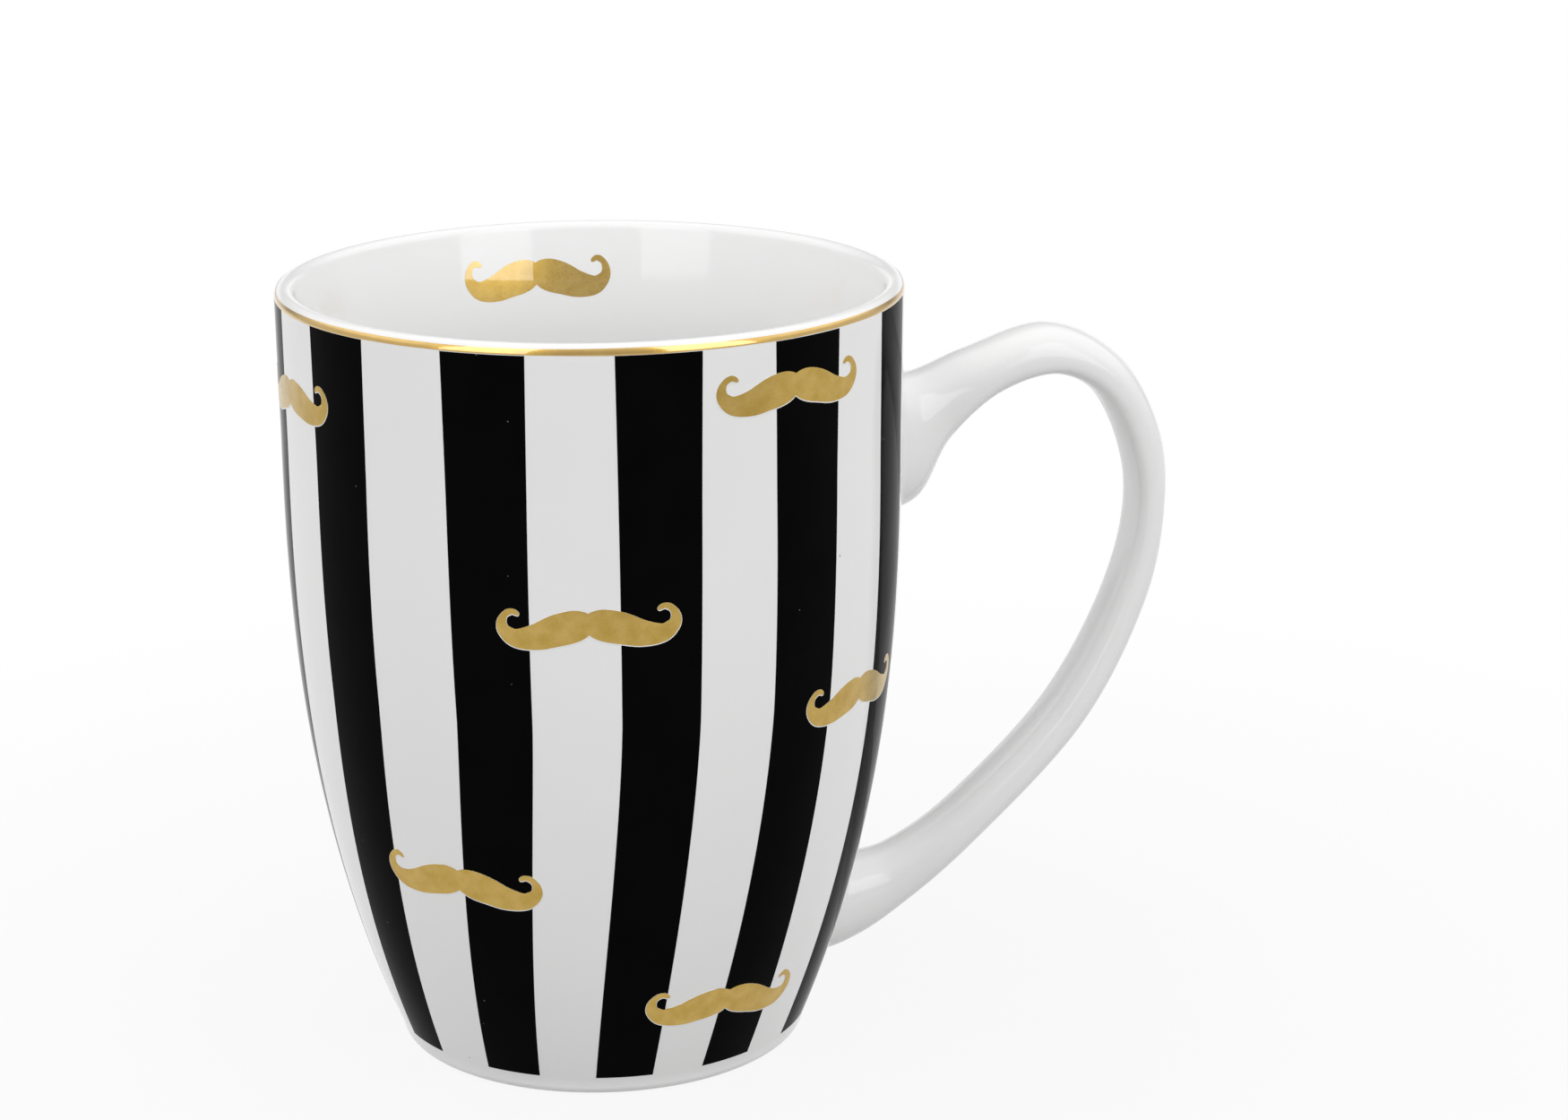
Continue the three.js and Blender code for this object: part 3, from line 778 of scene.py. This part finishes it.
def make_table_white():
    finish, tree, shader = new_finish("table_white")
    shader.inputs["Base Color"].default_value = TABLE_GREY
    shader.inputs["Roughness"].default_value = 0.7
    place = add_node(tree, "ShaderNodeTexCoord")
    reach = add_node(tree, "ShaderNodeVectorMath", operation="LENGTH")
    fade = add_node(tree, "ShaderNodeMapRange", SHADOW_FADE)
    path = add_node(tree, "ShaderNodeLightPath")
    seen = add_node(tree, "ShaderNodeMath", operation="MAXIMUM")
    shown = add_node(tree, "ShaderNodeMath", operation="MULTIPLY")
    glow = add_node(tree, "ShaderNodeEmission")
    mix = add_node(tree, "ShaderNodeMixShader")
    link = tree.links.new
    link(place.outputs["Object"], reach.inputs[0])
    link(reach.outputs["Value"], fade.inputs["Value"])
    link(fade.outputs["Result"], shown.inputs[0])
    link(path.outputs["Is Camera Ray"], seen.inputs[0])
    link(path.outputs["Is Glossy Ray"], seen.inputs[1])
    link(seen.outputs[0], shown.inputs[1])
    link(shown.outputs[0], mix.inputs["Fac"])
    link(shader.outputs["BSDF"], mix.inputs[1])
    link(glow.outputs["Emission"], mix.inputs[2])
    link(mix.outputs["Shader"], tree.nodes["Material Output"].inputs["Surface"])
    return finish


table_mesh = bmesh.new()
table_corners = [
    (-TABLE_SIDE, TABLE_FRONT, TABLE_TOP), (TABLE_SIDE, TABLE_FRONT, TABLE_TOP),
    (TABLE_SIDE, TABLE_BACK, TABLE_TOP), (-TABLE_SIDE, TABLE_BACK, TABLE_TOP),
]
table_mesh.faces.new([table_mesh.verts.new(corner) for corner in table_corners])
table = into_scene("table", table_mesh, make_table_white())

# Studio light
# Two upright soft boxes stand beside the camera, in a white tent that is brightest at the
# sides and a little dimmer overhead. Low down, behind the mug and in front it is dimmer still.
CAMERA_BEARING = -100
TOWARDS_CAMERA = (-0.174, -0.985, 0)
SOFT_BOX_DISTANCE = 0.40
SOFT_BOX_MIDDLE = 0.38
SOFT_BOX_HEIGHT = 0.5
TENT_SIDES = 1.26
TENT_FRONT = 0.6
TENT_BACK = 0.3
TENT_TOP = 0.95
LOW_SIDES = 0.75
LOW_FRONT = 0.5
LOW_BACK = 0.25
UNDER_TABLE = 0.02
MIRRORED_BELOW = 0.75
WHITE = 1.0
# Where one light level gives way to the next: shares of straight ahead, or of straight up
FRONT_FADE = (0.1, 0.8)
LOW_FRONT_FADE = (0.3, 0.8)
BACK_FADE = (-0.5, -0.85)
STRAIGHT_BACK_FADE = (-0.72, -0.92)
WALL_FADE = (0.2, 0.45)
TOP_FADE = (0.6, 0.85)
BACKGROUND_FADE = (0.25, 0.1)
HORIZON = 0.03


def soft_box(name, degrees, width, power):
    """An upright lamp, by its angle to the right of the camera, seen from the mug."""
    angle = math.radians(degrees + CAMERA_BEARING)
    away = Vector((math.cos(angle), math.sin(angle), 0))
    data = bpy.data.lights.new(name, "AREA")
    data.shape = "RECTANGLE"
    data.size = width
    data.size_y = SOFT_BOX_HEIGHT
    data.energy = power
    lamp = bpy.data.objects.new(name, data)
    lamp.location = Vector((cup_axis, 0, SOFT_BOX_MIDDLE)) + away * SOFT_BOX_DISTANCE
    lamp.rotation_euler = (-away).to_track_quat("-Z", "Y").to_euler()
    bpy.context.scene.collection.objects.link(lamp)


soft_box("soft_box_left", degrees=-37, width=0.22, power=0.54)
soft_box("soft_box_right", degrees=41, width=0.23, power=0.64)


def light_tent():
    """The tent's light by direction, with a white background and pale ground for mirrors."""
    world = bpy.data.worlds.new("studio")
    world.use_nodes = True
    tree = world.node_tree
    link = tree.links.new

    def fade_over(value, first, last):
        limits = {"From Min": first, "From Max": last}
        ramp = add_node(tree, "ShaderNodeMapRange", limits, interpolation_type="SMOOTHSTEP")
        link(value, ramp.inputs["Value"])
        return ramp.outputs["Result"]

    def blend(factor, first, second):
        """Mixes two light levels, each a number or the output of another blend."""
        mix = add_node(tree, "ShaderNodeMix", data_type="FLOAT")
        link(factor, mix.inputs["Factor"])
        for socket, level in (("A", first), ("B", second)):
            if isinstance(level, float):
                mix.inputs[socket].default_value = level
            else:
                link(level, mix.inputs[socket])
        return mix.outputs["Result"]

    def joined(operation, first, second):
        result = add_node(tree, "ShaderNodeMath", operation=operation)
        link(first, result.inputs[0])
        link(second, result.inputs[1])
        return result.outputs[0]

    place = add_node(tree, "ShaderNodeTexCoord")
    parts = add_node(tree, "ShaderNodeSeparateXYZ")
    toward = add_node(tree, "ShaderNodeVectorMath", {1: TOWARDS_CAMERA}, operation="DOT_PRODUCT")
    path = add_node(tree, "ShaderNodeLightPath")
    link(place.outputs["Generated"], parts.inputs[0])
    link(place.outputs["Generated"], toward.inputs[0])
    height = parts.outputs["Z"]
    front = toward.outputs["Value"]

    sides = blend(fade_over(front, *FRONT_FADE), TENT_SIDES, TENT_FRONT)
    sides = blend(fade_over(front, *BACK_FADE), sides, TENT_BACK)
    low = blend(fade_over(front, *LOW_FRONT_FADE), LOW_SIDES, LOW_FRONT)
    low = blend(fade_over(front, *BACK_FADE), low, LOW_BACK)
    walls = blend(fade_over(height, *WALL_FADE), low, sides)
    dome = blend(fade_over(height, *TOP_FADE), walls, TENT_TOP)
    room = blend(fade_over(height, -HORIZON, HORIZON), UNDER_TABLE, dome)

    behind = blend(fade_over(front, *STRAIGHT_BACK_FADE), 0.0, fade_over(height, *BACKGROUND_FADE))
    ground = blend(fade_over(height, HORIZON, -HORIZON), behind, MIRRORED_BELOW)
    mirrored = joined("MULTIPLY", ground, path.outputs["Is Glossy Ray"])
    straight = joined("MAXIMUM", path.outputs["Is Camera Ray"], path.outputs["Is Transmission Ray"])
    level = blend(joined("MAXIMUM", mirrored, straight), room, WHITE)

    background = tree.nodes["Background"]
    background.inputs["Color"].default_value = (1, 1, 1, 1)
    link(level, background.inputs["Strength"])
    return world


bpy.context.scene.world = light_tent()
bpy.context.scene.view_settings.view_transform = "Standard"
